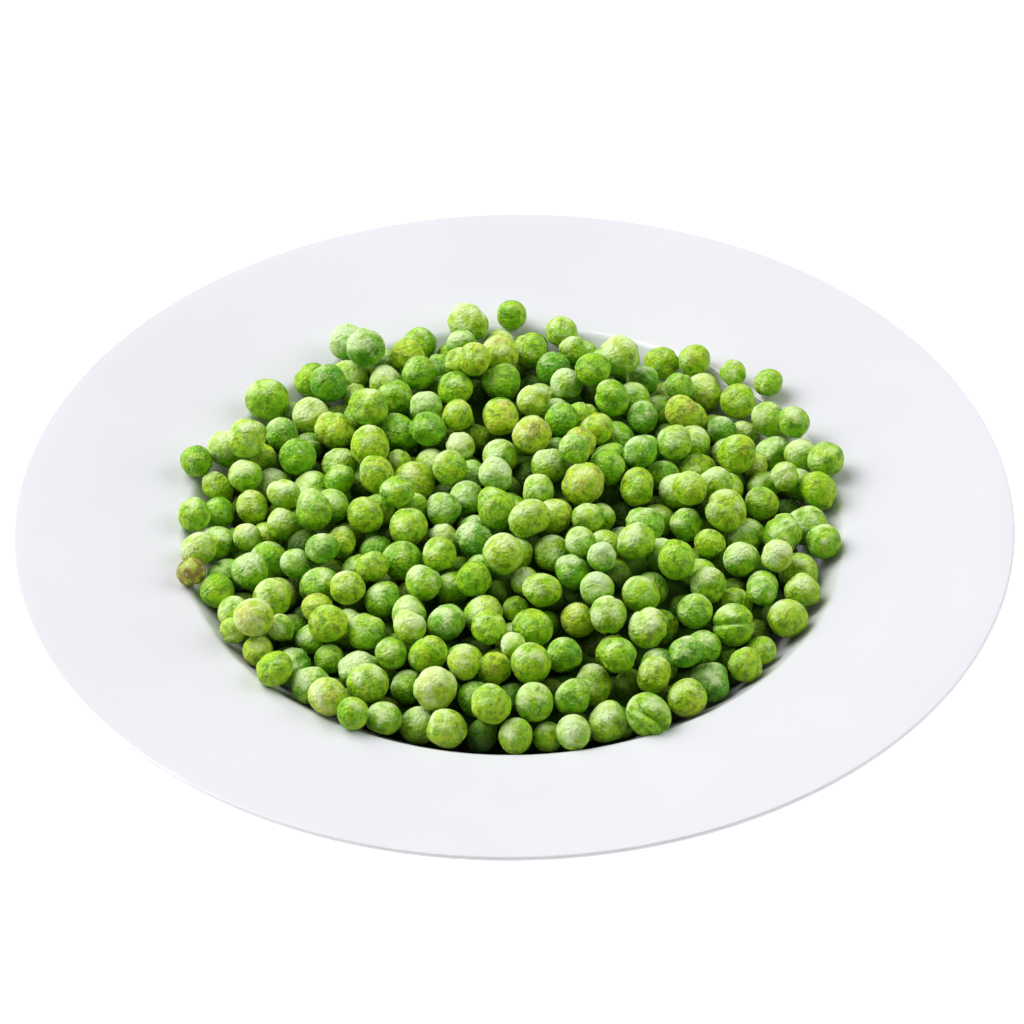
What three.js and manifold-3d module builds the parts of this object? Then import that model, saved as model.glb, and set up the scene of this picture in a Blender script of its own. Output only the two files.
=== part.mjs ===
// A wide-rimmed white porcelain plate whose well is heaped with frozen garden peas.
// Millimetres, +Z up. The origin is the centre of the foot ring's flat face, so the plate stands on z = 0.
// The peas are poured one by one. Each rolls downhill over the plate and the peas already lying there until it
// rests in a pocket, which gives the heap its uneven top. The peas that show are fused to a low core.
import * as THREE from "three";
import { mergeVertices } from "three/addons/utils/BufferGeometryUtils.js";
import Module from "manifold-3d";

const wasm = await Module();
wasm.setup();

// Plate
const plateRadius = 120;
const edgeHeight = 34;
const brimRadius = 79.5;
const brimHeight = 28;
const wellFloorHeight = 7;
const wellSlopeDegrees = 43;
const wellFillet = 20;
const brimRounding = 3.5;
const wallThickness = 4.2;
const edgeThickness = 2.6;
const edgeRounding = 1.2;
const underBrimRounding = 6;
const underWallRounding = 7;
const footRadius = 54;
const footWidth = 4;
const plateSides = 48;

// Peas
const peaCount = 740;
const meanPeaRadius = 4.45;
const peaRadiusSpread = 0.9;
const smallestPeaRadius = 3.3;
const largestPeaRadius = 5.25;

// Pouring
const pourSeed = 23774;
const pourRadius = 84;
const heapCentre = new THREE.Vector2(-1, 4);
const domeHeight = 11;
const spotsTried = 14;
const stragglerCount = 30;
const firstRollStep = 2;
const lastRollStep = 0.02;
const profileStep = 0.5;

// Fused heap
const restingGap = 0.35;
const leastShownShare = 0.6;
const peaSides = 6;
const peaLatitudes = [-90, -8, 46, 90];
const flatsSwell = 1.03;
const peaRootDepth = 6.5;
const coreRadius = 82;
const coreEdgeRise = 1.5;
const coreRise = 0.5;
const coreReach = 11;
const coreRings = 4;
const coreSides = 14;

const porcelain = new THREE.MeshStandardMaterial({ color: 0xf0f0f5, roughness: 0.12, metalness: 0 });
const frostedPea = new THREE.MeshStandardMaterial({ color: 0x81a63a, roughness: 0.6, metalness: 0 });

const wellSlope = Math.tan(THREE.MathUtils.degToRad(wellSlopeDegrees));
const rimSlope = (edgeHeight - brimHeight) / (plateRadius - brimRadius);
const wellFloorRadius = brimRadius - (brimHeight - wellFloorHeight) / wellSlope;

// The same number in [0, 1) each time, for the same seed.
function randomNumbers(seed) {
  let state = seed;
  return () => {
    state = (state * 48271) % 2147483647;
    return state / 2147483647;
  };
}

// Turns corners [x, y, rounding, steps] into an outline in which a corner with a rounding becomes an arc.
function roundedOutline(corners) {
  const outline = [];
  corners.forEach(([x, y, rounding = 0, steps = 1], i) => {
    const corner = new THREE.Vector2(x, y);
    if (!rounding) {
      outline.push(corner);
      return;
    }
    const before = new THREE.Vector2(corners[i - 1][0], corners[i - 1][1]).sub(corner).normalize();
    const after = new THREE.Vector2(corners[i + 1][0], corners[i + 1][1]).sub(corner).normalize();
    const turn = Math.PI - before.angleTo(after);
    const middle = before.clone().add(after).normalize().multiplyScalar(rounding / Math.cos(turn / 2)).add(corner);
    const start = before.clone().multiplyScalar(rounding * Math.tan(turn / 2)).add(corner);
    const way = Math.sign(before.cross(after)) * -1;
    for (let k = 0; k <= steps; k++) outline.push(start.clone().rotateAround(middle, (way * turn * k) / steps));
  });
  return outline;
}

// The corner of a line kept a distance below the line before-corner-after.
function cornerBelow([x0, y0], [x1, y1], [x2, y2], distance) {
  const first = new THREE.Vector2(x1 - x0, y1 - y0).normalize();
  const second = new THREE.Vector2(x2 - x1, y2 - y1).normalize();
  const down = new THREE.Vector2(first.y + second.y, -first.x - second.x).normalize();
  const stretch = distance / Math.cos(Math.acos(first.dot(second)) / 2);
  return [x1 + down.x * stretch, y1 + down.y * stretch];
}

// A solid turned about the vertical axis, from an outline of [radius, height] that starts and ends on the axis.
function turned(outline, sides) {
  return new THREE.LatheGeometry(outline, sides).rotateX(Math.PI / 2);
}

const floorCentre = [0, wellFloorHeight];
const floorCorner = [wellFloorRadius, wellFloorHeight];
const brimCorner = [brimRadius, brimHeight];
const edgeCorner = [plateRadius, edgeHeight];

function plateGeometry() {
  const underBrim = cornerBelow(floorCorner, brimCorner, edgeCorner, wallThickness);
  const underWall = cornerBelow(floorCentre, floorCorner, brimCorner, wallThickness);
  const recess = wellFloorHeight - wallThickness;
  const corners = [
    floorCentre,
    [...floorCorner, wellFillet, 4],
    [...brimCorner, brimRounding, 3],
    [...edgeCorner, edgeRounding, 2],
    [plateRadius, edgeHeight - edgeThickness, edgeRounding, 2],
    [...underBrim, underBrimRounding, 2],
    [...underWall, underWallRounding, 2],
    [footRadius, recess],
    [footRadius, 0],
    [footRadius - footWidth, 0],
    [footRadius - footWidth, recess],
    [0, recess],
  ];
  return turned(roundedOutline(corners).reverse(), plateSides);
}

// Height of the plate's upper face, with plain corners, at a distance from the axis.
function plateHeight(distance) {
  if (distance < wellFloorRadius) return wellFloorHeight;
  if (distance < brimRadius) return wellFloorHeight + (distance - wellFloorRadius) * wellSlope;
  return brimHeight + (distance - brimRadius) * rimSlope;
}

const profile = [];
for (let k = 0; k * profileStep <= plateRadius; k++) profile.push([k * profileStep, plateHeight(k * profileStep)]);

// Height of a ball's centre when it rests on the plate alone.
function heightOnPlate(distance, radius) {
  let height = 0;
  for (const [at, top] of profile) {
    const away = distance - at;
    if (away * away < radius * radius) height = Math.max(height, top + Math.sqrt(radius * radius - away * away));
  }
  return height;
}

// Height of a ball's centre when it rests at x, y on the plate or on the peas already there.
function restingHeight(peas, x, y, radius) {
  let height = heightOnPlate(Math.sqrt(x * x + y * y), radius);
  for (const pea of peas) {
    const dx = x - pea.x;
    const dy = y - pea.y;
    const reach = pea.radius + radius;
    const rise = reach * reach - dx * dx - dy * dy;
    if (rise > 0) height = Math.max(height, pea.z + Math.sqrt(rise));
  }
  return height;
}

const diagonal = Math.sqrt(0.5);
const compass = [
  [1, 0],
  [diagonal, diagonal],
  [0, 1],
  [-diagonal, diagonal],
  [-1, 0],
  [-diagonal, -diagonal],
  [0, -1],
  [diagonal, -diagonal],
];

// Rolls a pea downhill from x, y, always to the lowest of eight spots around it, until no spot is lower.
function rollDown(peas, x, y, radius) {
  let spot = { x, y, z: restingHeight(peas, x, y, radius), radius };
  let step = firstRollStep;
  while (step > lastRollStep) {
    let lowest = spot;
    for (const [east, north] of compass) {
      const nextX = spot.x + east * step;
      const nextY = spot.y + north * step;
      const nextZ = restingHeight(peas, nextX, nextY, radius);
      if (nextZ < lowest.z) lowest = { x: nextX, y: nextY, z: nextZ, radius };
    }
    if (lowest === spot) step /= 2;
    else spot = lowest;
  }
  return spot;
}

// How high a spot stands against the heap's shallow dome. The lowest spots fill first.
function heightInDome(spot) {
  const x = spot.x - heapCentre.x;
  const y = spot.y - heapCentre.y;
  return spot.z + (domeHeight * (x * x + y * y)) / (pourRadius * pourRadius);
}

function pourPeas() {
  const random = randomNumbers(pourSeed);
  const peas = [];
  for (let n = 0; n < peaCount; n++) {
    const drawn = meanPeaRadius + peaRadiusSpread * (random() + random() + random() - 1.5);
    const radius = Math.min(largestPeaRadius, Math.max(smallestPeaRadius, drawn));
    const spots = n < peaCount - stragglerCount ? spotsTried : 1;
    let best = null;
    for (let k = 0; k < spots; k++) {
      let east;
      let north;
      do {
        east = 2 * random() - 1;
        north = 2 * random() - 1;
      } while (east * east + north * north > 1);
      const spot = rollDown(peas, east * pourRadius + heapCentre.x, north * pourRadius + heapCentre.y, radius);
      if (!best || heightInDome(spot) < heightInDome(best)) best = spot;
    }
    peas.push(best);
  }
  return peas;
}

// Share of a pea's upper half that can be seen from straight above.
function shownShare(pea, peas) {
  const rings = 5;
  let seen = 0;
  let all = 0;
  for (let ring = 0; ring < rings; ring++) {
    const points = Math.max(1, 6 * ring);
    for (let k = 0; k < points; k++) {
      const out = (ring / rings) * pea.radius;
      const x = pea.x + out * Math.cos((2 * Math.PI * k) / points);
      const y = pea.y + out * Math.sin((2 * Math.PI * k) / points);
      const z = pea.z + Math.sqrt(pea.radius ** 2 - out ** 2);
      const covered = peas.some((other) => {
        const rise = other.radius ** 2 - (x - other.x) ** 2 - (y - other.y) ** 2;
        return other !== pea && rise > 0 && other.z + Math.sqrt(rise) > z;
      });
      all += 1;
      seen += covered ? 0 : 1;
    }
  }
  return seen / all;
}

// Height of the core's top at x, y: about level with the centres of the shown peas around it, and low at its edge.
function coreTop(shown, x, y) {
  const edge = plateHeight(Math.hypot(x, y)) + coreEdgeRise;
  if (Math.hypot(x - heapCentre.x, y - heapCentre.y) > coreRadius - 0.5) return edge;
  let sum = 0;
  let weights = 0;
  for (const pea of shown) {
    const near = 1 - ((x - pea.x) ** 2 + (y - pea.y) ** 2) / coreReach ** 2;
    if (near <= 0) continue;
    sum += near * near * pea.z;
    weights += near * near;
  }
  return weights ? sum / weights + coreRise : edge;
}

function solidOf(geometry) {
  const bare = geometry.index ? geometry.toNonIndexed() : geometry.clone();
  bare.deleteAttribute("normal");
  bare.deleteAttribute("uv");
  const merged = mergeVertices(bare, 1e-4);
  const mesh = new wasm.Mesh({
    numProp: 3,
    vertProperties: merged.getAttribute("position").array,
    triVerts: new Uint32Array(merged.index.array),
  });
  return new wasm.Manifold(mesh);
}

function geometryOf(solid) {
  const mesh = solid.getMesh();
  const geometry = new THREE.BufferGeometry();
  geometry.setAttribute("position", new THREE.BufferAttribute(mesh.vertProperties, 3));
  geometry.setIndex(new THREE.BufferAttribute(mesh.triVerts, 1));
  geometry.computeVertexNormals();
  return geometry;
}

// The room over the plate that the heap may fill: a resting gap above the well and the rim.
function roomOverPlate() {
  const floor = cornerBelow(floorCentre, floorCorner, brimCorner, -restingGap);
  const brim = cornerBelow(floorCorner, brimCorner, edgeCorner, -restingGap);
  const ceiling = edgeHeight * 2;
  const corners = [
    [0, wellFloorHeight + restingGap],
    [...floor, wellFillet, 4],
    [...brim, brimRounding, 3],
    [plateRadius, edgeHeight + restingGap],
    [plateRadius, ceiling],
    [0, ceiling],
  ];
  return solidOf(turned(roundedOutline(corners), plateSides));
}

// A low body under the shown peas, its top following them on a round net. Its foot is below the plate's face,
// and the room over the plate cuts it to the well.
function coreSolid(shown) {
  const ringRadius = (ring) => coreRadius * (1 - ring / coreRings);
  const outline = [new THREE.Vector2(0, 0), new THREE.Vector2(coreRadius, 0)];
  for (let ring = 0; ring <= coreRings; ring++) outline.push(new THREE.Vector2(ringRadius(ring), edgeHeight));
  const geometry = turned(outline, coreSides).translate(heapCentre.x, heapCentre.y, 0);
  const place = geometry.getAttribute("position");
  for (let i = 0; i < place.count; i++) {
    if (place.getZ(i) > edgeHeight / 2) place.setZ(i, coreTop(shown, place.getX(i), place.getY(i)));
  }
  return solidOf(geometry);
}

// A pea as a ball of a few flats. Its lower cap is plain, because it lies in the heap, and is rooted in the core.
function peaSolid(pea, turn, shown) {
  const depth = Math.max(pea.radius, pea.z - coreTop(shown, pea.x, pea.y) + peaRootDepth);
  const outline = peaLatitudes.map((degrees) => {
    const angle = THREE.MathUtils.degToRad(degrees);
    return new THREE.Vector2(Math.cos(angle), Math.sin(angle)).multiplyScalar(pea.radius * flatsSwell);
  });
  outline[0].set(0, -depth);
  outline[outline.length - 1].x = 0;
  return solidOf(turned(outline, peaSides).rotateZ(turn).translate(pea.x, pea.y, pea.z));
}

// The core and the shown peas as one body. The largest body of the union is kept: that fills what the fusing seals
// and drops what stays loose.
function heapGeometry() {
  const peas = pourPeas();
  const shown = peas.filter((pea) => shownShare(pea, peas) > leastShownShare);
  const pieces = shown.map((pea, n) => peaSolid(pea, n, shown));
  const fused = wasm.Manifold.union([coreSolid(shown), ...pieces]).intersect(roomOverPlate());
  const bodies = fused.decompose();
  return geometryOf(bodies.reduce((largest, body) => (body.volume() > largest.volume() ? body : largest)));
}

function named(name, geometry, material) {
  const mesh = new THREE.Mesh(geometry, material);
  mesh.name = name;
  return mesh;
}

const plateOfPeas = new THREE.Group();
plateOfPeas.add(named("plate", plateGeometry(), porcelain));
plateOfPeas.add(named("pea_heap", heapGeometry(), frostedPea));

export default plateOfPeas;
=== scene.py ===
"""A wide-rimmed white porcelain plate, its well heaped with loose frozen garden peas.

Lengths are in millimetres in the functions and become metres where a mesh is made. The plate is one outline
turned about the vertical axis. The peas are poured by a rule, and each pea is a ball that is pressed, dimpled
or creased.
"""
import math

import bpy
import numpy as np
from mathutils import Matrix


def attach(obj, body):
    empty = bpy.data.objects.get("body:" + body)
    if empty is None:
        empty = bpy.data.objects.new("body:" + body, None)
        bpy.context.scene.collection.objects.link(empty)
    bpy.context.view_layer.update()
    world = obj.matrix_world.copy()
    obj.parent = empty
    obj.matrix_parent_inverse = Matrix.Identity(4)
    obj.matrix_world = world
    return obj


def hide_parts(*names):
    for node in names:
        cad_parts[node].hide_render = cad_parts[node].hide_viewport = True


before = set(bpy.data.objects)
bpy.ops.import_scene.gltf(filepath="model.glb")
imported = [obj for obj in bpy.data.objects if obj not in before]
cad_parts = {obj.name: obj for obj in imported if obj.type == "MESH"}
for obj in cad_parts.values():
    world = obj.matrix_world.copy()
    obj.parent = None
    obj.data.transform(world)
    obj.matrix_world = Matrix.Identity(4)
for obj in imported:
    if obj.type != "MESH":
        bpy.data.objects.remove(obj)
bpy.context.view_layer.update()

MM = 0.001
WHOLE_WAVE = 6.28

# Plate
PLATE_RADIUS = 120
EDGE_HEIGHT = 34
BRIM_RADIUS = 79.5
BRIM_HEIGHT = 28
WELL_FLOOR_HEIGHT = 7
WELL_SLOPE = math.tan(math.radians(43))
WELL_FLOOR_RADIUS = BRIM_RADIUS - (BRIM_HEIGHT - WELL_FLOOR_HEIGHT) / WELL_SLOPE
RIM_SLOPE = (EDGE_HEIGHT - BRIM_HEIGHT) / (PLATE_RADIUS - BRIM_RADIUS)
WALL_THICKNESS = 4.2
EDGE_THICKNESS = 2.6
LIP_HEIGHT = 1.1
LIP_WIDTH = 2.5
FOOT_RADIUS = 54
FOOT_WIDTH = 4
PLATE_SIDES = 288
LONGEST_OUTLINE_STEP = 4.0

# Pouring
PEA_COUNT = 740
MEAN_PEA_RADIUS = 4.45
PEA_RADIUS_SPREAD = 0.9
SMALLEST_PEA_RADIUS = 3.3
LARGEST_PEA_RADIUS = 5.25
POUR_SEED = 23774
POUR_FACTOR = 48271
POUR_MODULUS = 2147483647
POUR_RADIUS = 84
HEAP_X = -1
HEAP_Y = 4
DOME_HEIGHT = 11
SPOTS_TRIED = 14
STRAGGLERS = 30
FIRST_ROLL_STEP = 2
LAST_ROLL_STEP = 0.02
PROFILE_STEP = 0.5
PROFILE_PAD = 11
PROFILE_END_PAD = 60
FAR_AWAY = 1e6
DISC_POINTS = 60
DISC_SHARE = 0.97

# Looks of the peas
LOOKS_SEED = 7
PEA_SWELL = 0.99
PEA_GRID = (26, 15)
BELOW_GRID = (16, 9)
SINGLE_GRID = (48, 32)
PRESS_SHARPNESS = 26
SPLIT_PEA_AT = (26.7, -65.6)
SEAMED_PEA_AT = (52.0, -43.0)
BROWNED_PEA_AT = (-77.9, -16.9)
# The way the painted highlight faces: up and to the left, towards the main light
PAINTED_HIGHLIGHT_SIDE = (-0.45, 0.1, 0.88)

# Shares of a pea's upper half that show from above
BARELY_SHOWN = 0.02
HALF_SHOWN = 0.5
WELL_SHOWN = 0.6

# Depth in the heap, and the painted shade deep in it
LEVEL_REACH = 9
LEVEL_OVER_BRIM = 3
LEVEL_SLOPE = 0.5
# Painted shade: the skin starts to darken this far below the heap's face, and is fully dark this much deeper
SHADE_BELOW = 2.5
SHADE_OVER = 9.0
DEEPEST_PEA = 14

# Core under the peas
CORE_RADIUS = 66
CORE_DEPTH = 15
CORE_RINGS = 24
CORE_SIDES = 72
CORE_SMOOTHING = 3
CORE_SWELL = 1.6
CORE_GAP = 0.4
CORE_THINNEST = 0.1

# Colours
GLAZE_GREY = (0.715, 0.715, 0.755)
GLAZE_WHITE = (0.73, 0.73, 0.77)
GLAZE_SPECK = (0.7, 0.7, 0.74)
PEA_TONES = (
    (0.0, (0.1, 0.36, 0.006)),
    (0.25, (0.21, 0.52, 0.005)),
    (0.5, (0.36, 0.64, 0.008)),
    (0.75, (0.48, 0.66, 0.015)),
    (0.92, (0.58, 0.6, 0.07)),
    (1.0, (0.3, 0.2, 0.05)),
)
MOTTLE_GREEN = (0.04, 0.14, 0.003)
THIN_RIME = (0.75, 0.9, 0.39)
THICK_RIME = (0.84, 0.96, 0.61)
# Painted shade: the dark green the skin takes deep in the heap
PAINTED_SHADE_SKIN = (0.008, 0.03, 0.0005)
PEA_SHEEN = (0.9, 1.0, 0.35)
# Painted shade: the dark greens of the heap's core
CORE_SHADE_DARK = (0.02, 0.06, 0.004)
CORE_SHADE_GREEN = (0.05, 0.13, 0.01)
FLOOR_GREY = (0.78, 0.78, 0.78)
FLOOR_WHITE = (0.8, 0.8, 0.8)
WHITE = (1, 1, 1)

# Camera, fitted to the plate's edge and brim
CAMERA_DISTANCE = 1.3
CAMERA_ELEVATION = 39.88
CAMERA_ROLL = 0.75
CAMERA_LENS = 190.47
CAMERA_SENSOR = 36
CAMERA_NEAREST = 0.05
CAMERA_FARTHEST = 50
CAMERA_AIM = (-0.00039, 0.0, 0.0342)

# Studio, in metres
LIT_HEIGHT = 0.03
FLOOR_RADIUS = 6
FLOOR_SIDES = 64
FLOOR_HEIGHT = -0.0004
FLOOR_GLOW = 0.65
HORIZON_STRENGTH = 0.85
SKY_STRENGTH = 0.16
SKY_STARTS_AT = 0.1


# Meshes


def mesh_piece(name, points, quads, triangles, material, slot, body="root"):
    """An object at the origin from points in millimetres and faces, shaded smooth."""
    mesh = bpy.data.meshes.new(name)
    mesh.from_pydata((np.asarray(points, float) * MM).tolist(), [], quads.tolist() + triangles.tolist())
    mesh.shade_smooth()
    mesh.materials.append(material)
    mesh.update()
    piece = bpy.data.objects.new(name, mesh)
    bpy.context.scene.collection.objects.link(piece)
    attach(piece, body)
    return piece


def paint(piece, name, values):
    """One number for each vertex, which the material reads by name."""
    attribute = piece.data.attributes.new(name, "FLOAT", "POINT")
    attribute.data.foreach_set("value", np.asarray(values, np.float32))


def rounded(corners):
    """The outline through corners (x, y, rounding, steps), where a corner with a rounding becomes an arc.

    An arc starts and ends at rounding x tan(half the turn) from its corner, and its middle lies on the
    corner's bisector at rounding / cos(half the turn).
    """
    outline = []
    for i, (x, y, rounding, steps) in enumerate(corners):
        corner = np.array([x, y], float)
        if not rounding:
            outline.append(corner)
            continue
        before = np.array(corners[i - 1][:2]) - corner
        after = np.array(corners[i + 1][:2]) - corner
        before /= np.linalg.norm(before)
        after /= np.linalg.norm(after)
        turn = math.pi - math.acos(before @ after)
        bisector = (before + after) / np.linalg.norm(before + after)
        middle = corner + bisector * rounding / math.cos(turn / 2)
        start = corner + before * rounding * math.tan(turn / 2) - middle
        way = -np.sign(before[0] * after[1] - before[1] * after[0])
        angles = way * turn * np.arange(steps + 1) / steps
        arc_x = start[0] * np.cos(angles) - start[1] * np.sin(angles)
        arc_y = start[0] * np.sin(angles) + start[1] * np.cos(angles)
        outline.extend(middle + np.stack([arc_x, arc_y], 1))
    return np.array(outline)


def corner_below(before, corner, after, distance):
    """The corner of the line that keeps a distance below the line before - corner - after.

    It lies along the two normals' mean, at distance / cos(half the turn).
    """
    first = np.subtract(corner, before) / np.linalg.norm(np.subtract(corner, before))
    second = np.subtract(after, corner) / np.linalg.norm(np.subtract(after, corner))
    down = np.array([first[1] + second[1], -first[0] - second[0]])
    down /= np.linalg.norm(down)
    away = distance / math.cos(math.acos(first @ second) / 2)
    return tuple(np.array(corner) + down * away)


def finer(outline, longest):
    """The same outline with its straight runs cut into steps no longer than longest."""
    points = [outline[0]]
    for a, b in zip(outline[:-1], outline[1:]):
        parts = max(1, math.ceil(np.linalg.norm(b - a) / longest))
        points.extend(a + (b - a) * k / parts for k in range(1, parts + 1))
    return np.array(points)


def net_faces(rings, sides):
    """Quads between rings of points, and triangles to the two poles that follow the last ring."""
    here = np.arange(sides)
    after = (here + 1) % sides
    row = np.arange(rings - 1)[:, None] * sides
    quads = np.stack([row + here, row + sides + here, row + sides + after, row + after], 2).reshape(-1, 4)
    last = (rings - 1) * sides
    pole = rings * sides
    first_cap = np.stack([np.full(sides, pole), here, after], 1)
    last_cap = np.stack([np.full(sides, pole + 1), last + after, last + here], 1)
    return quads, np.vstack([first_cap, last_cap])


def turned(outline, sides):
    """An outline (radius, height) from axis to axis, turned about the vertical: x = r cos a, y = r sin a."""
    inner = outline[1:-1]
    angle = 2 * np.pi * np.arange(sides) / sides
    ring = np.stack([np.cos(angle), np.sin(angle)], 1)
    flat = inner[:, None, :1] * ring
    height = np.broadcast_to(inner[:, None, 1:], (len(inner), sides, 1))
    points = np.concatenate([flat, height], 2).reshape(-1, 3)
    points = np.vstack([points, [0, 0, outline[0, 1]], [0, 0, outline[-1, 1]]])
    return points, *net_faces(len(inner), sides)


# Materials


def new_material(name):
    """A material with a bare Principled shader, its node tree and the shader."""
    material = bpy.data.materials.new(name)
    material.use_nodes = True
    tree = material.node_tree
    tree.nodes.clear()
    output = tree.nodes.new("ShaderNodeOutputMaterial")
    shader = tree.nodes.new("ShaderNodeBsdfPrincipled")
    tree.links.new(shader.outputs["BSDF"], output.inputs["Surface"])
    return material, tree, shader


def place(tree):
    """The object's own coordinates, in metres."""
    return tree.nodes.new("ShaderNodeTexCoord").outputs["Object"]


def noise(tree, where, size_mm, detail, roughness=0.5):
    """Noise from 0 to 1 with features of about a size in millimetres."""
    node = tree.nodes.new("ShaderNodeTexNoise")
    node.inputs["Scale"].default_value = 1000 / size_mm
    node.inputs["Detail"].default_value = detail
    node.inputs["Roughness"].default_value = roughness
    tree.links.new(where, node.inputs["Vector"])
    return node.outputs["Fac"]


def cells(tree, where, size_mm):
    """Distance from the middle of the nearest of many uneven cells, from 0 to about 0.8 of a cell."""
    node = tree.nodes.new("ShaderNodeTexVoronoi")
    node.inputs["Scale"].default_value = 1000 / size_mm
    tree.links.new(where, node.inputs["Vector"])
    return node.outputs["Distance"]


def facing(tree, way):
    """How squarely the surface faces a way, from -1 to 1: the dot product of its normal with the way."""
    node = tree.nodes.new("ShaderNodeVectorMath")
    node.operation = "DOT_PRODUCT"
    node.inputs[1].default_value = way
    tree.links.new(tree.nodes.new("ShaderNodeNewGeometry").outputs["Normal"], node.inputs[0])
    return node.outputs["Value"]


def stretch(tree, value, low, high, to_low=0.0, to_high=1.0):
    """A value from low..high to to_low..to_high along a soft step, held at the ends."""
    node = tree.nodes.new("ShaderNodeMapRange")
    node.interpolation_type = "SMOOTHSTEP"
    node.inputs["From Min"].default_value = low
    node.inputs["From Max"].default_value = high
    node.inputs["To Min"].default_value = to_low
    node.inputs["To Max"].default_value = to_high
    tree.links.new(value, node.inputs["Value"])
    return node.outputs["Result"]


def calculate(tree, operation, a, b):
    """Two values, or a value and a number, added, multiplied and so on."""
    node = tree.nodes.new("ShaderNodeMath")
    node.operation = operation
    for socket, term in zip(node.inputs, (a, b)):
        if isinstance(term, (int, float)):
            socket.default_value = term
        else:
            tree.links.new(term, socket)
    return node.outputs["Value"]


def weighted(tree, *terms):
    """The sum of values, each times its weight."""
    parts = [calculate(tree, "MULTIPLY", value, weight) for value, weight in terms]
    total = parts[0]
    for part in parts[1:]:
        total = calculate(tree, "ADD", total, part)
    return total


def blend(tree, amount, a, b):
    """Colour a going to colour b by an amount from 0 to 1."""
    node = tree.nodes.new("ShaderNodeMix")
    node.data_type = "RGBA"
    for socket, term in ((node.inputs[0], amount), (node.inputs[6], a), (node.inputs[7], b)):
        if isinstance(term, (int, float)):
            socket.default_value = term
        elif isinstance(term, tuple):
            socket.default_value = (*term, 1)
        else:
            tree.links.new(term, socket)
    return node.outputs[2]


def ramp_of(tree, value, stops):
    """The colour at a value from 0 to 1 between stops (position, colour)."""
    node = tree.nodes.new("ShaderNodeValToRGB")
    elements = node.color_ramp.elements
    while len(elements) < len(stops):
        elements.new(0.5)
    for element, (position, colour) in zip(elements, stops):
        element.position = position
        element.color = (*colour, 1)
    tree.links.new(value, node.inputs["Fac"])
    return node.outputs["Color"]


def painted(tree, name):
    """A number that the mesh carries for each vertex."""
    node = tree.nodes.new("ShaderNodeAttribute")
    node.attribute_name = name
    return node.outputs["Fac"]


def bump(tree, shader, height, depth_mm, strength):
    """Relief from a height of 0 to 1 that stands for a depth in millimetres."""
    node = tree.nodes.new("ShaderNodeBump")
    node.inputs["Strength"].default_value = strength
    node.inputs["Distance"].default_value = depth_mm * MM
    tree.links.new(height, node.inputs["Height"])
    tree.links.new(node.outputs["Normal"], shader.inputs["Normal"])


def porcelain_glaze():
    """White porcelain: a clear glaze that pools a little unevenly over a cool white body."""
    material, tree, shader = new_material("porcelain_glaze")
    where = place(tree)
    pooling = noise(tree, where, 45, 2)
    grain = noise(tree, where, 1.6, 3, 0.6)
    body = blend(tree, stretch(tree, pooling, 0.35, 0.65), GLAZE_GREY, GLAZE_WHITE)
    colour = blend(tree, stretch(tree, grain, 0.62, 0.8, 0, 0.35), body, GLAZE_SPECK)
    tree.links.new(colour, shader.inputs["Base Color"])
    tree.links.new(stretch(tree, pooling, 0.3, 0.7, 0.09, 0.14), shader.inputs["Roughness"])
    shader.inputs["IOR"].default_value = 1.5
    bump(tree, shader, weighted(tree, (pooling, 1.0), (grain, 0.02)), 0.5, 0.5)
    return material


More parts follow.
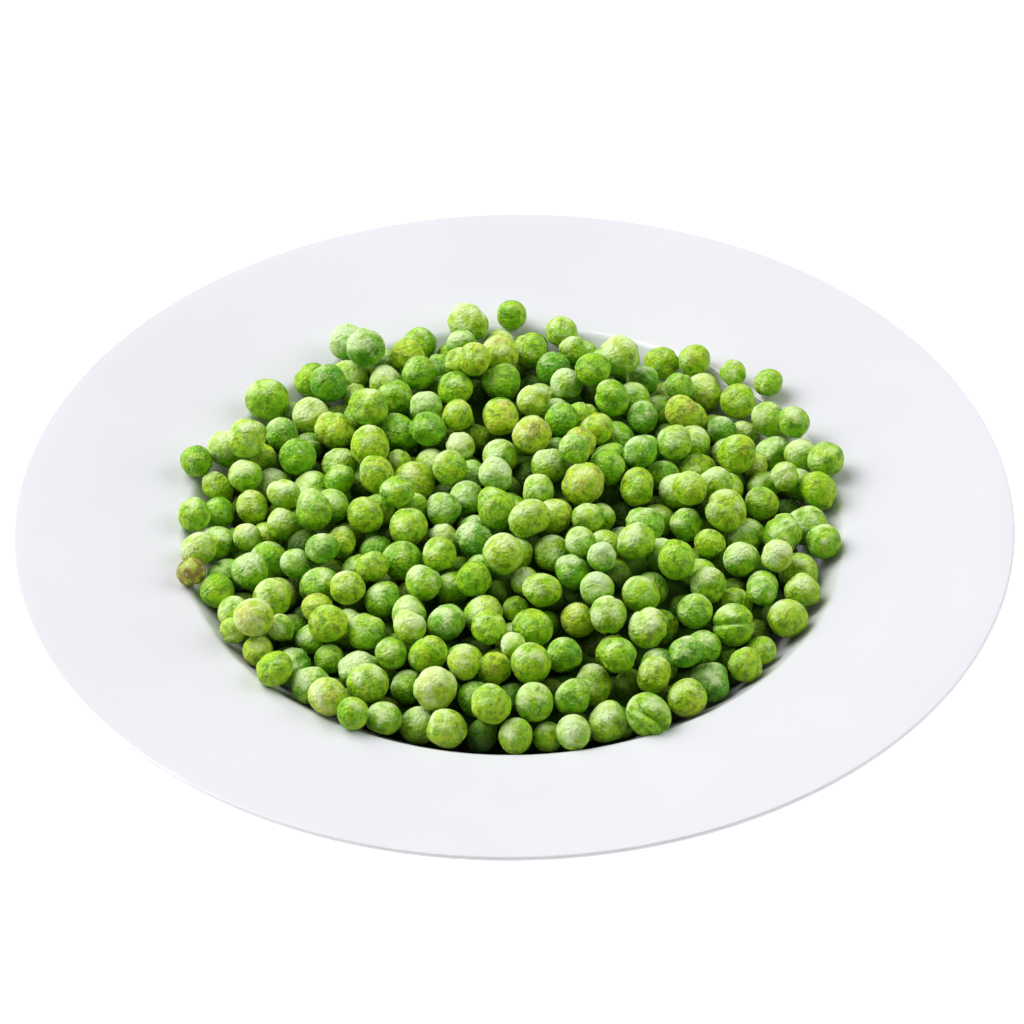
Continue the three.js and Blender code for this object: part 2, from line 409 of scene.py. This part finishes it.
def pea_skin():
    """Green pea skin under a granular frost.

    "tone" runs from deep green over leaf green and yellow green to straw and brown. Soft flushes take it up or
    down a little within a pea, and a fine mottle darkens the skin.

    "frost" says how much of the pea is pale. The cover is its sum with a patchy and a fine noise, and it is
    thickest on the side that faces up and to the left: a painted highlight where the upper-left light falls. A
    thin veil forms where the cover is thick, and small grains form where it is thinner.

    "depth" says how far down in the heap a spot is, from 0 to 1. Deep down the skin is painted dark and holds
    less frost: painted shade where the peas above shade it.
    """
    material, tree, shader = new_material("frosted_pea_skin")
    where = place(tree)
    grain = noise(tree, where, 0.8, 1)
    patch = noise(tree, where, 3.4, 1)
    mottle = noise(tree, where, 1.6, 1)
    flush = noise(tree, where, 2.8, 0)
    crystals = cells(tree, where, 0.75)
    depth = painted(tree, "depth")

    tone = calculate(tree, "ADD", painted(tree, "tone"), stretch(tree, flush, 0.28, 0.72, -0.13, 0.13))
    clean = ramp_of(tree, tone, PEA_TONES)
    skin = blend(tree, stretch(tree, mottle, 0.42, 0.7, 0, 0.6), clean, MOTTLE_GREEN)

    # Painted highlight: the cover is thicker on the side that faces the upper-left light
    side = stretch(tree, facing(tree, PAINTED_HIGHLIGHT_SIDE), -0.3, 1.0, -0.17, 0.07)
    amount = painted(tree, "frost")
    # The cover thins deep in the heap, which darkens the skin there as painted shade
    cover = weighted(tree, (grain, 0.3), (patch, 0.7), (amount, 0.42), (side, 1.0), (depth, -0.3))
    veil = stretch(tree, cover, 0.6, 0.86, 0.0, 0.83)
    specks = stretch(tree, crystals, 0.12, 0.52, 0.72, 0.0)
    specks = calculate(tree, "MULTIPLY", specks, stretch(tree, cover, 0.42, 0.72, 0.06, 1.0))
    frost = calculate(tree, "MAXIMUM", veil, specks)
    rime = blend(tree, stretch(tree, cover, 0.7, 1.0), THIN_RIME, THICK_RIME)
    rime = blend(tree, 0.2, rime, clean)

    colour = blend(tree, frost, skin, rime)
    # Painted shade: the skin goes dark green deep in the heap, where the peas above shade it
    colour = blend(tree, stretch(tree, depth, 0.15, 1.0, 0.0, 0.9), colour, PAINTED_SHADE_SKIN)
    tree.links.new(colour, shader.inputs["Base Color"])
    tree.links.new(stretch(tree, frost, 0, 1, 0.48, 0.66), shader.inputs["Roughness"])
    shader.inputs["Specular IOR Level"].default_value = 0.25
    shader.inputs["Sheen Weight"].default_value = 0.06
    shader.inputs["Sheen Roughness"].default_value = 0.45
    shader.inputs["Sheen Tint"].default_value = (*PEA_SHEEN, 1)
    bump(tree, shader, weighted(tree, (grain, 0.75), (patch, 0.9)), 0.8, 0.9)
    return material


def painted_shade_heap():
    """The dark green of peas deep in the heap, painted as their shade."""
    material, tree, shader = new_material("painted_shade_heap")
    patch = noise(tree, place(tree), 8, 2)
    colour = blend(tree, stretch(tree, patch, 0.35, 0.65), CORE_SHADE_DARK, CORE_SHADE_GREEN)
    tree.links.new(colour, shader.inputs["Base Color"])
    shader.inputs["Roughness"].default_value = 0.8
    shader.inputs["Specular IOR Level"].default_value = 0.1
    bump(tree, shader, patch, 2.0, 0.8)
    return material


# Plate


def plate_outline():
    """The plate's outline from the middle of the well over the edge and the foot ring to the middle below.

    The plate is as thick as the wall from the well to under the brim, and thins from there to the edge. The
    edge ends in a small upright lip, below which it slants in.
    """
    centre = (0, WELL_FLOOR_HEIGHT)
    floor = (WELL_FLOOR_RADIUS, WELL_FLOOR_HEIGHT)
    brim = (BRIM_RADIUS, BRIM_HEIGHT)
    edge = (PLATE_RADIUS, EDGE_HEIGHT)
    under_lip = (PLATE_RADIUS, EDGE_HEIGHT - LIP_HEIGHT)
    under_edge = (PLATE_RADIUS - LIP_WIDTH, EDGE_HEIGHT - EDGE_THICKNESS)
    under_brim = corner_below(floor, brim, edge, WALL_THICKNESS)
    under_wall = corner_below(centre, floor, brim, WALL_THICKNESS)
    recess = WELL_FLOOR_HEIGHT - WALL_THICKNESS
    inner_foot = FOOT_RADIUS - FOOT_WIDTH
    corners = [
        (*centre, 0, 1),
        (*floor, 20, 12),
        (*brim, 3.5, 10),
        (*edge, 0.5, 6),
        (*under_lip, 0.45, 6),
        (*under_edge, 3, 6),
        (*under_brim, 6, 8),
        (*under_wall, 7, 8),
        (FOOT_RADIUS, recess, 0.8, 5),
        (FOOT_RADIUS, 0, 0.6, 5),
        (inner_foot, 0, 0.6, 5),
        (inner_foot, recess, 0.8, 5),
        (0, recess, 0, 1),
    ]
    return finer(rounded(corners), LONGEST_OUTLINE_STEP)


def plate_height(distance):
    """Height of the plate's upper face, with plain corners, at distances from the axis."""
    wall = WELL_FLOOR_HEIGHT + (distance - WELL_FLOOR_RADIUS) * WELL_SLOPE
    rim = BRIM_HEIGHT + (distance - BRIM_RADIUS) * RIM_SLOPE
    outside = np.where(distance < BRIM_RADIUS, wall, rim)
    return np.where(distance < WELL_FLOOR_RADIUS, WELL_FLOOR_HEIGHT, outside)


# Pouring


def random_numbers(seed):
    """The same row of numbers in [0, 1) each time: each is the last times a factor, modulo a prime."""
    state = seed
    while True:
        state = state * POUR_FACTOR % POUR_MODULUS
        yield state / POUR_MODULUS


PROFILE = np.arange(int(PLATE_RADIUS / PROFILE_STEP) + 1) * PROFILE_STEP
PROFILE_AT = np.concatenate([np.full(PROFILE_PAD, FAR_AWAY), PROFILE, np.full(PROFILE_END_PAD, FAR_AWAY)])
PROFILE_TOP = np.concatenate([np.zeros(PROFILE_PAD), plate_height(PROFILE), np.zeros(PROFILE_END_PAD)])
PROFILE_WINDOW = np.arange(2 * PROFILE_PAD + 1)
PROFILE_LAST = len(PROFILE) + PROFILE_END_PAD // 2
DIAGONAL = math.sqrt(0.5)
EAST = np.array([1, DIAGONAL, 0, -DIAGONAL, -1, -DIAGONAL, 0, DIAGONAL])
NORTH = np.array([0, DIAGONAL, 1, DIAGONAL, 0, -DIAGONAL, -1, -DIAGONAL])


def height_on_plate(distance, radius):
    """Centre height of a ball that rests on the plate alone: the highest of top + sqrt(r^2 - d^2) near it."""
    near = np.minimum((distance / PROFILE_STEP).astype(int), PROFILE_LAST)[..., None] + PROFILE_WINDOW
    away = distance[..., None] - PROFILE_AT[near]
    rise = radius * radius - away * away
    return np.where(rise > 0, PROFILE_TOP[near] + np.sqrt(np.abs(rise)), 0).max(-1)


def resting_height(x, y, radius, peas):
    """Centre height of a ball that rests at x, y on the plate or on the peas (x, y, z, radius) there."""
    height = height_on_plate(np.sqrt(x * x + y * y), radius)
    if len(peas):
        dx = x[..., None] - peas[:, 0]
        dy = y[..., None] - peas[:, 1]
        reach = peas[:, 3] + radius
        rise = reach * reach - dx * dx - dy * dy
        height = np.maximum(height, np.where(rise > 0, peas[:, 2] + np.sqrt(np.abs(rise)), 0).max(-1))
    return height


def roll_down(x, y, radius, peas):
    """Rolls balls downhill, each to the lowest of eight spots around it, at a step halved where none is."""
    z = resting_height(x, y, radius, peas)
    step = np.full(len(x), float(FIRST_ROLL_STEP))
    moving = np.arange(len(x))
    while len(moving):
        next_x = x[moving, None] + EAST * step[moving, None]
        next_y = y[moving, None] + NORTH * step[moving, None]
        next_z = resting_height(next_x, next_y, radius, peas)
        row = np.arange(len(moving))
        lowest = next_z.argmin(1)
        lower = next_z[row, lowest] < z[moving]
        gone = moving[lower]
        x[gone] = next_x[row, lowest][lower]
        y[gone] = next_y[row, lowest][lower]
        z[gone] = next_z[row, lowest][lower]
        step[moving[~lower]] /= 2
        moving = moving[step[moving] > LAST_ROLL_STEP]
    return x, y, z


def pour_peas():
    """Pours the peas one by one, as (x, y, z, radius). Each takes the lowest of a few spots.

    Lowest is against a shallow dome, so that the heap stands higher in the middle. The last few peas try one
    spot only, and lie where they fall.
    """
    numbers = random_numbers(POUR_SEED)
    peas = np.zeros((PEA_COUNT, 4))
    for n in range(PEA_COUNT):
        drawn = MEAN_PEA_RADIUS + PEA_RADIUS_SPREAD * (next(numbers) + next(numbers) + next(numbers) - 1.5)
        radius = min(LARGEST_PEA_RADIUS, max(SMALLEST_PEA_RADIUS, drawn))
        tries = SPOTS_TRIED if n < PEA_COUNT - STRAGGLERS else 1
        spots = []
        while len(spots) < tries:
            east = 2 * next(numbers) - 1
            north = 2 * next(numbers) - 1
            if east * east + north * north <= 1:
                spots.append((east * POUR_RADIUS + HEAP_X, north * POUR_RADIUS + HEAP_Y))
        x, y, z = roll_down(*np.array(spots).T.copy(), radius, peas[:n])
        out = (x - HEAP_X) * (x - HEAP_X) + (y - HEAP_Y) * (y - HEAP_Y)
        best = (z + (DOME_HEIGHT * out) / (POUR_RADIUS * POUR_RADIUS)).argmin()
        peas[n] = x[best], y[best], z[best], radius
    return peas


def heap_top(x, y, peas, swell=1.0):
    """Height of the highest face of the peas, each swollen, over points x, y, or 0 where there is none."""
    dx = x[..., None] - peas[:, 0]
    dy = y[..., None] - peas[:, 1]
    rise = (swell * peas[:, 3]) ** 2 - dx ** 2 - dy ** 2
    return np.where(rise > 0, peas[:, 2] + np.sqrt(np.abs(rise)), 0).max(-1)


def shown_share(peas):
    """Share of each pea's upper half that is seen from straight above, from sunflower points on its disc."""
    k = np.arange(DISC_POINTS) + 0.5
    out = np.sqrt(k / DISC_POINTS) * DISC_SHARE
    angle = k * math.pi * (3 - math.sqrt(5))
    x = peas[:, :1] + peas[:, 3:] * out * np.cos(angle)
    y = peas[:, 1:2] + peas[:, 3:] * out * np.sin(angle)
    z = peas[:, 2:3] + peas[:, 3:] * np.sqrt(1 - out * out)
    return (heap_top(x, y, peas) < z + 1e-6).mean(1)


def level_round(peas, among):
    """Height of the heap's face round each pea: the mean top of the peas among, weighted by nearness.

    The weight is (1 - (distance / reach)^2)^2. The level falls off to the brim, where the outermost peas
    stand low and in full light.
    """
    away = np.hypot(peas[:, None, 0] - among[:, 0], peas[:, None, 1] - among[:, 1])
    near = np.maximum(1 - (away / LEVEL_REACH) ** 2, 1e-6) ** 2
    mean_top = (near * (among[:, 2] + among[:, 3])).sum(1) / near.sum(1)
    inward = np.maximum(BRIM_RADIUS - np.hypot(peas[:, 0], peas[:, 1]), 0)
    return np.minimum(mean_top, BRIM_HEIGHT + LEVEL_OVER_BRIM + LEVEL_SLOPE * inward)


def nearest(peas, spot, share):
    """The well shown pea nearest to a spot x, y."""
    away = np.hypot(peas[:, 0] - spot[0], peas[:, 1] - spot[1])
    return int(np.where(share < WELL_SHOWN, FAR_AWAY, away).argmin())


# Peas


def ball_grid(sides, rows):
    """Directions on a ball from pole to pole, and the faces between them."""
    down = np.pi * np.arange(rows + 1) / rows
    return turned(np.stack([np.sin(down), np.cos(down)], 1), sides)


def turns(count, chance):
    """Random turns as matrices, from quaternions drawn evenly."""
    q = chance.normal(size=(count, 4))
    w, x, y, z = (q / np.linalg.norm(q, axis=1, keepdims=True)).T
    rows = [
        [1 - 2 * (y * y + z * z), 2 * (x * y - z * w), 2 * (x * z + y * w)],
        [2 * (x * y + z * w), 1 - 2 * (x * x + z * z), 2 * (y * z - x * w)],
        [2 * (x * z - y * w), 2 * (y * z + x * w), 1 - 2 * (x * x + y * y)],
    ]
    return np.array(rows).transpose(2, 0, 1)


def directions(count, chance):
    """Random directions, evenly over the ball."""
    v = chance.normal(size=(count, 3))
    return v / np.linalg.norm(v, axis=1, keepdims=True)


def length_along(ball, axes):
    """How far each pea's directions reach along its own axis, from -1 to 1."""
    return np.einsum("pvc,pc->pv", ball, axes)


def bell(away, width):
    """exp(-(away / width)^2)."""
    return np.exp(-((away / width) ** 2))


def lumpy(ball, height, chance):
    """1 plus height x the mean of three slow waves in random directions: no pea is quite round."""
    count = len(ball)
    total = np.zeros(ball.shape[:2])
    for _ in range(3):
        along = length_along(ball, directions(count, chance))
        waves = chance.uniform(2.0, 4.0, count)
        phase = chance.uniform(0, WHOLE_WAVE, count)
        total += np.sin(waves[:, None] * along + phase[:, None])
    return 1 + height * total / 3


def dented(size, ball, depths, widths, chance):
    """size less depth x exp(-(angle from a random direction / width)^2): a round dimple in each pea."""
    count = len(ball)
    angle = np.arccos(np.clip(length_along(ball, directions(count, chance)), -1, 1))
    depth = chance.uniform(*depths, count)
    width = chance.uniform(*widths, count)
    return size - depth[:, None] * bell(angle, width[:, None])


def pressed(size, ball, levels, chance):
    """size cut softly to a flat in a random direction, where the pea froze against another.

    The flat is level x radius from the middle, so limit = level / length along. The soft least of size and
    limit is -log(exp(-s size) + exp(-s limit)) / s.
    """
    count = len(ball)
    along = length_along(ball, directions(count, chance))
    level = chance.uniform(*levels, count)
    limit = np.minimum(level[:, None] / np.maximum(along, 0.05), 3)
    return -np.log(np.exp(-PRESS_SHARPNESS * size) + np.exp(-PRESS_SHARPNESS * limit)) / PRESS_SHARPNESS


def creased(size, ball, depths, waves, chance):
    """size less a net of creases: depth x (1 - |sin|)^2 of three bent waves that cross the pea."""
    count = len(ball)
    bent_along = length_along(ball, directions(count, chance))
    depth = chance.uniform(*depths, count)
    total = np.zeros_like(size)
    for _ in range(3):
        across = directions(count, chance)
        phase = chance.uniform(0, WHOLE_WAVE, count)
        bend = 0.7 * np.sin(3 * bent_along + phase[:, None])
        wave = waves * length_along(ball, across) + bend + phase[:, None]
        total += (1 - np.abs(np.sin(wave))) ** 2
    return size - depth[:, None] * total / 1.5


def nipped(size, ball, at, depths, levels, width, chance):
    """size less depth x exp(-((height along at - level) / width)^2): a waist round each pea."""
    depth = chance.uniform(*depths, len(ball))
    level = chance.uniform(*levels, len(ball))
    return size - depth[:, None] * bell(length_along(ball, at) - level[:, None], width)


def plump(ball, chance):
    """A full pea with a few faint flats."""
    size = lumpy(ball, 0.05, chance)
    for _ in range(3):
        size = pressed(size, ball, (0.87, 1.0), chance)
    return dented(size, ball, (0.0, 0.08), (0.4, 0.8), chance)


def dimpled(ball, chance):
    """A pea with three dimples and flats."""
    size = lumpy(ball, 0.06, chance)
    for _ in range(3):
        size = dented(size, ball, (0.05, 0.22), (0.25, 0.5), chance)
        size = pressed(size, ball, (0.82, 0.98), chance)
    return size


def wrinkled(ball, chance):
    """A shrunken pea with a net of creases and a hollow."""
    size = lumpy(ball, 0.08, chance)
    size = creased(size, ball, (0.06, 0.12), 3.6, chance)
    size = dented(size, ball, (0.08, 0.2), (0.4, 0.7), chance)
    return size + 0.02


def waisted(ball, chance):
    """A pea with a crease round it, where its two halves show through the skin."""
    at = directions(len(ball), chance)
    size = lumpy(ball, 0.05, chance)
    size = nipped(size, ball, at, (0.09, 0.17), (-0.3, 0.45), 0.16, chance)
    return pressed(size, ball, (0.84, 0.98), chance)


def seamed(ball, _):
    """A pea whose upper half stands off from its lower half: a sharp groove across it with full sides."""
    flank = np.clip(ball[..., 2] + 0.5, 0, 1)
    return 1 + 0.05 - 0.3 * flank * bell(ball[..., 1] - 0.12, 0.11)


def split_open(ball, _):
    """A burst pea, longer than wide: a slit along its front between raised lips, and a smaller slit."""
    across = ball[..., 0] + 0.1 * np.sin(3 * ball[..., 1])
    front = np.clip((ball[..., 2] - 0.1) / 0.5, 0, 1)
    slit = 0.26 * bell(across, 0.1)
    lips = 0.08 * bell(np.abs(across) - 0.32, 0.16)
    side_slit = 0.1 * bell(across + 0.6, 0.08)
    return 1 + 0.12 * ball[..., 1] ** 2 + front * (lips - slit - side_slit)


def oblongs(count, spread, chance):
    """Three stretches near 1 for each pea, from 1 - 0.7 x spread to 1 + 0.3 x spread."""
    return 1 + spread * (chance.random((count, 3)) - 0.7)


def facing_viewer(lean_degrees):
    """The turn that brings a pea's front to the viewer and leans its length over to the left by an angle."""
    tilt = math.radians(CAMERA_ELEVATION)
    lean = math.radians(lean_degrees)
    front = np.array([0, -math.cos(tilt), math.sin(tilt)])
    upward = np.array([0, math.sin(tilt), math.cos(tilt)])
    length = upward * math.cos(lean) - np.array([1.0, 0, 0]) * math.sin(lean)
    return np.stack([np.cross(length, front), length, front], 1)[None]


def peas_mesh(peas, ball, size, oblong, turn, quads, caps):
    """Points centre + radius x turn(oblong x size x direction) of every pea in a row, and their faces."""
    local = ball * size[..., None] * oblong[:, None, :] * PEA_SWELL
    points = np.einsum("pij,pvj->pvi", turn, local) * peas[:, 3][:, None, None] + peas[:, None, :3]
    start = np.arange(len(peas))[:, None, None] * ball.shape[1]
    return points.reshape(-1, 3), (start + quads).reshape(-1, 4), (start + caps).reshape(-1, 3)


def kind_of_peas(name, peas, looks, shaper, spread, skin, chance, grid=PEA_GRID, turn=None):
    """One piece of peas of one kind, with looks (tone, frost, level of the heap's face) for each pea.

    shaper gives each pea's size in every direction. A spot's depth goes from 0 to 1 below the heap's face, and
    the skin paints shade by it.
    """
    count = len(peas)
    out, quads, caps = ball_grid(*grid)
    ball = np.broadcast_to(out, (count, *out.shape))
    size = shaper(ball, chance)
    if turn is None:
        turn = turns(count, chance)
    mesh = peas_mesh(peas, ball, size, oblongs(count, spread, chance), turn, quads, caps)
    piece = mesh_piece(name, *mesh, skin, "pea_skin")
    tone, frost, level = np.repeat(looks, len(out), 0).T
    paint(piece, "tone", tone)
    paint(piece, "frost", frost)
    # Painted shade: the skin darkens by how far a spot lies below the heap's face
    paint(piece, "depth", np.clip((level - mesh[0][:, 2] - SHADE_BELOW) / SHADE_OVER, 0, 1))


def heap_core(peas):
    """The heap's inside, dark green as painted shade: a low net of rings, well below the heap's top, just
    above the plate's face.

    Its upper face is the swollen peas' top, smoothed along each ring and lowered by a depth.
    """
    out = np.arange(1, CORE_RINGS + 1) / CORE_RINGS * CORE_RADIUS
    angle = 2 * np.pi * np.arange(CORE_SIDES) / CORE_SIDES
    x = out[:, None] * np.cos(angle)
    y = out[:, None] * np.sin(angle)
    level = heap_top(x, y, peas, CORE_SWELL)
    for _ in range(CORE_SMOOTHING):
        level = (level + np.roll(level, 1, 1) + np.roll(level, -1, 1)) / 3
    floor = np.broadcast_to(plate_height(out)[:, None] + CORE_GAP, x.shape)
    height = np.maximum(level - CORE_DEPTH, floor + CORE_THINNEST)
    height[-1] = floor[-1] + CORE_THINNEST
    upper = np.stack([x, y, height], 2).reshape(-1, 3)
    lower = np.stack([x[::-1], y[::-1], floor[::-1]], 2).reshape(-1, 3)
    poles = [[0, 0, height[0].mean()], [0, 0, WELL_FLOOR_HEIGHT + CORE_GAP]]
    return np.vstack([upper, lower, poles]), *net_faces(2 * CORE_RINGS, CORE_SIDES)


# The object


def build_plate():
    """The plate, in place of its plain node."""
    outline = plate_outline()[::-1]
    plate = mesh_piece("soup_plate", *turned(outline, PLATE_SIDES), porcelain_glaze(), "porcelain")
    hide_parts("plate")


def build_heap():
    """The heap: a piece for each kind of pea that shows, one for those below, single peas and the core."""
    skin = pea_skin()
    chance = np.random.default_rng(LOOKS_SEED)
    peas = pour_peas()
    share = shown_share(peas)
    buried = heap_top(peas[:, 0], peas[:, 1], peas) - peas[:, 2] - peas[:, 3]
    level = level_round(peas, peas[share > HALF_SHOWN])
    tone = np.clip(chance.normal(0.46, 0.17, PEA_COUNT), 0.05, 0.8)
    frost = np.clip(chance.normal(0.42, 0.15, PEA_COUNT), 0, 1)
    looks = np.stack([tone, frost, level], 1)
    draw = chance.random(PEA_COUNT)

    # Name, place, swelling, tone, frost, shape and turn
    single_peas = [
        ("split_pea", SPLIT_PEA_AT, 1.15, 0.34, 0.42, split_open, facing_viewer(45)),
        ("seamed_pea", SEAMED_PEA_AT, 1.0, 0.4, 0.35, seamed, facing_viewer(5)),
        ("browned_pea", BROWNED_PEA_AT, 1.0, 0.98, 0.2, wrinkled, None),
    ]
    single = [nearest(peas, spot, share) for _, spot, *_ in single_peas]
    shown = share > BARELY_SHOWN
    below = ~shown & (buried < DEEPEST_PEA)
    shown[single] = False
    below[single] = False

    # Name, least and greatest draw, shape and spread of the stretches
    kinds = [
        ("plump_peas", 0.0, 0.34, plump, 0.12),
        ("dimpled_peas", 0.34, 0.68, dimpled, 0.18),
        ("wrinkled_peas", 0.68, 0.86, wrinkled, 0.2),
        ("waisted_peas", 0.86, 1.0, waisted, 0.24),
    ]
    for name, least, greatest, shaper, spread in kinds:
        chosen = shown & (draw >= least) & (draw < greatest)
        kind_of_peas(name, peas[chosen], looks[chosen], shaper, spread, skin, chance)
    kind_of_peas("peas_below", peas[below], looks[below], plump, 0.1, skin, chance, BELOW_GRID)
    for n, (name, _, swell, pea_tone, pea_frost, shaper, turn) in zip(single, single_peas):
        pea = peas[[n]] * (1, 1, 1, swell)
        pea_looks = np.array([[pea_tone, pea_frost, level[n]]])
        kind_of_peas(name, pea, pea_looks, shaper, 0.05, skin, chance, SINGLE_GRID, turn)

    # The core fills the gaps deep in the heap with painted shade
    core = mesh_piece("heap_core", *heap_core(peas), painted_shade_heap(), "pea_skin")
    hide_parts("pea_heap")


build_plate()
build_heap()

# Camera and light


def set_up(name, data, right, up, back, at):
    """A camera or light at a point in metres, with its right, up and back directions."""
    thing = bpy.data.objects.new(name, data)
    bpy.context.scene.collection.objects.link(thing)
    matrix = np.eye(4)
    matrix[:3] = np.stack([right, up, back, at], 1)
    thing.matrix_world = Matrix(matrix.tolist())
    return thing


def aim_camera():
    """The camera stands off its aim, at an elevation over the plate's front, and is rolled a little."""
    elevation = math.radians(CAMERA_ELEVATION)
    roll = math.radians(CAMERA_ROLL)
    back = np.array([0, -math.cos(elevation), math.sin(elevation)])
    right = np.array([1.0, 0, 0])
    up = np.cross(back, right)
    rolled_right = right * math.cos(roll) - up * math.sin(roll)
    rolled_up = up * math.cos(roll) + right * math.sin(roll)
    data = bpy.data.cameras.new("camera")
    data.lens = CAMERA_LENS
    data.sensor_width = CAMERA_SENSOR
    data.clip_start = CAMERA_NEAREST
    data.clip_end = CAMERA_FARTHEST
    at = np.array(CAMERA_AIM) + back * CAMERA_DISTANCE
    bpy.context.scene.camera = set_up("camera", data, rolled_right, rolled_up, back, at)


def softbox(name, at, size, watts):
    """A square area light at a point in metres, turned to the plate."""
    data = bpy.data.lights.new(name, "AREA")
    data.shape = "SQUARE"
    data.size = size
    data.energy = watts
    back = np.array(at, float) - np.array([0, 0, LIT_HEIGHT])
    back /= np.linalg.norm(back)
    right = np.cross([0, 0.02, 1], back)
    right /= np.linalg.norm(right)
    set_up(name, data, right, np.cross(back, right), back, at)


def studio_world():
    """White light from all round: bright up to the horizon, dim above it.

    The plate's glossy rim mirrors the bright low part in a low view, as it would mirror a white room.
    """
    world = bpy.data.worlds.new("studio")
    bpy.context.scene.world = world
    world.use_nodes = True
    tree = world.node_tree
    way = tree.nodes.new("ShaderNodeTexCoord")
    height = tree.nodes.new("ShaderNodeSeparateXYZ")
    tree.links.new(way.outputs["Generated"], height.inputs[0])
    strength = stretch(tree, height.outputs["Z"], 0.0, SKY_STARTS_AT, HORIZON_STRENGTH, SKY_STRENGTH)
    background = tree.nodes["Background"]
    background.inputs["Color"].default_value = (*WHITE, 1)
    tree.links.new(strength, background.inputs["Strength"])


def studio_floor():
    """A plain white sweep, a disc far wider than the plate."""
    material, tree, shader = new_material("studio_white")
    shade = noise(tree, place(tree), 900, 1)
    tree.links.new(blend(tree, shade, FLOOR_GREY, FLOOR_WHITE), shader.inputs["Base Color"])
    shader.inputs["Roughness"].default_value = 0.9
    shader.inputs["Emission Color"].default_value = (*WHITE, 1)
    shader.inputs["Emission Strength"].default_value = FLOOR_GLOW
    angle = 2 * np.pi * np.arange(FLOOR_SIDES) / FLOOR_SIDES
    x = FLOOR_RADIUS * np.cos(angle)
    y = FLOOR_RADIUS * np.sin(angle)
    points = np.stack([x, y, np.full(FLOOR_SIDES, FLOOR_HEIGHT)], 1)
    mesh = bpy.data.meshes.new("floor")
    mesh.from_pydata(points.tolist(), [], [list(range(FLOOR_SIDES))])
    mesh.materials.append(material)
    floor = bpy.data.objects.new("floor", mesh)
    bpy.context.scene.collection.objects.link(floor)


aim_camera()
softbox("left_softbox", (-2.1, 0.25, 1.3), 2.2, 31.0)
softbox("right_softbox", (2.1, 0.25, 1.4), 2.2, 35.0)
softbox("back_softbox", (-1.25, 0.9, 1.9), 2.0, 62.0)
studio_world()
studio_floor()

bpy.context.scene.view_settings.view_transform = "Standard"
bpy.context.scene.view_settings.look = "None"
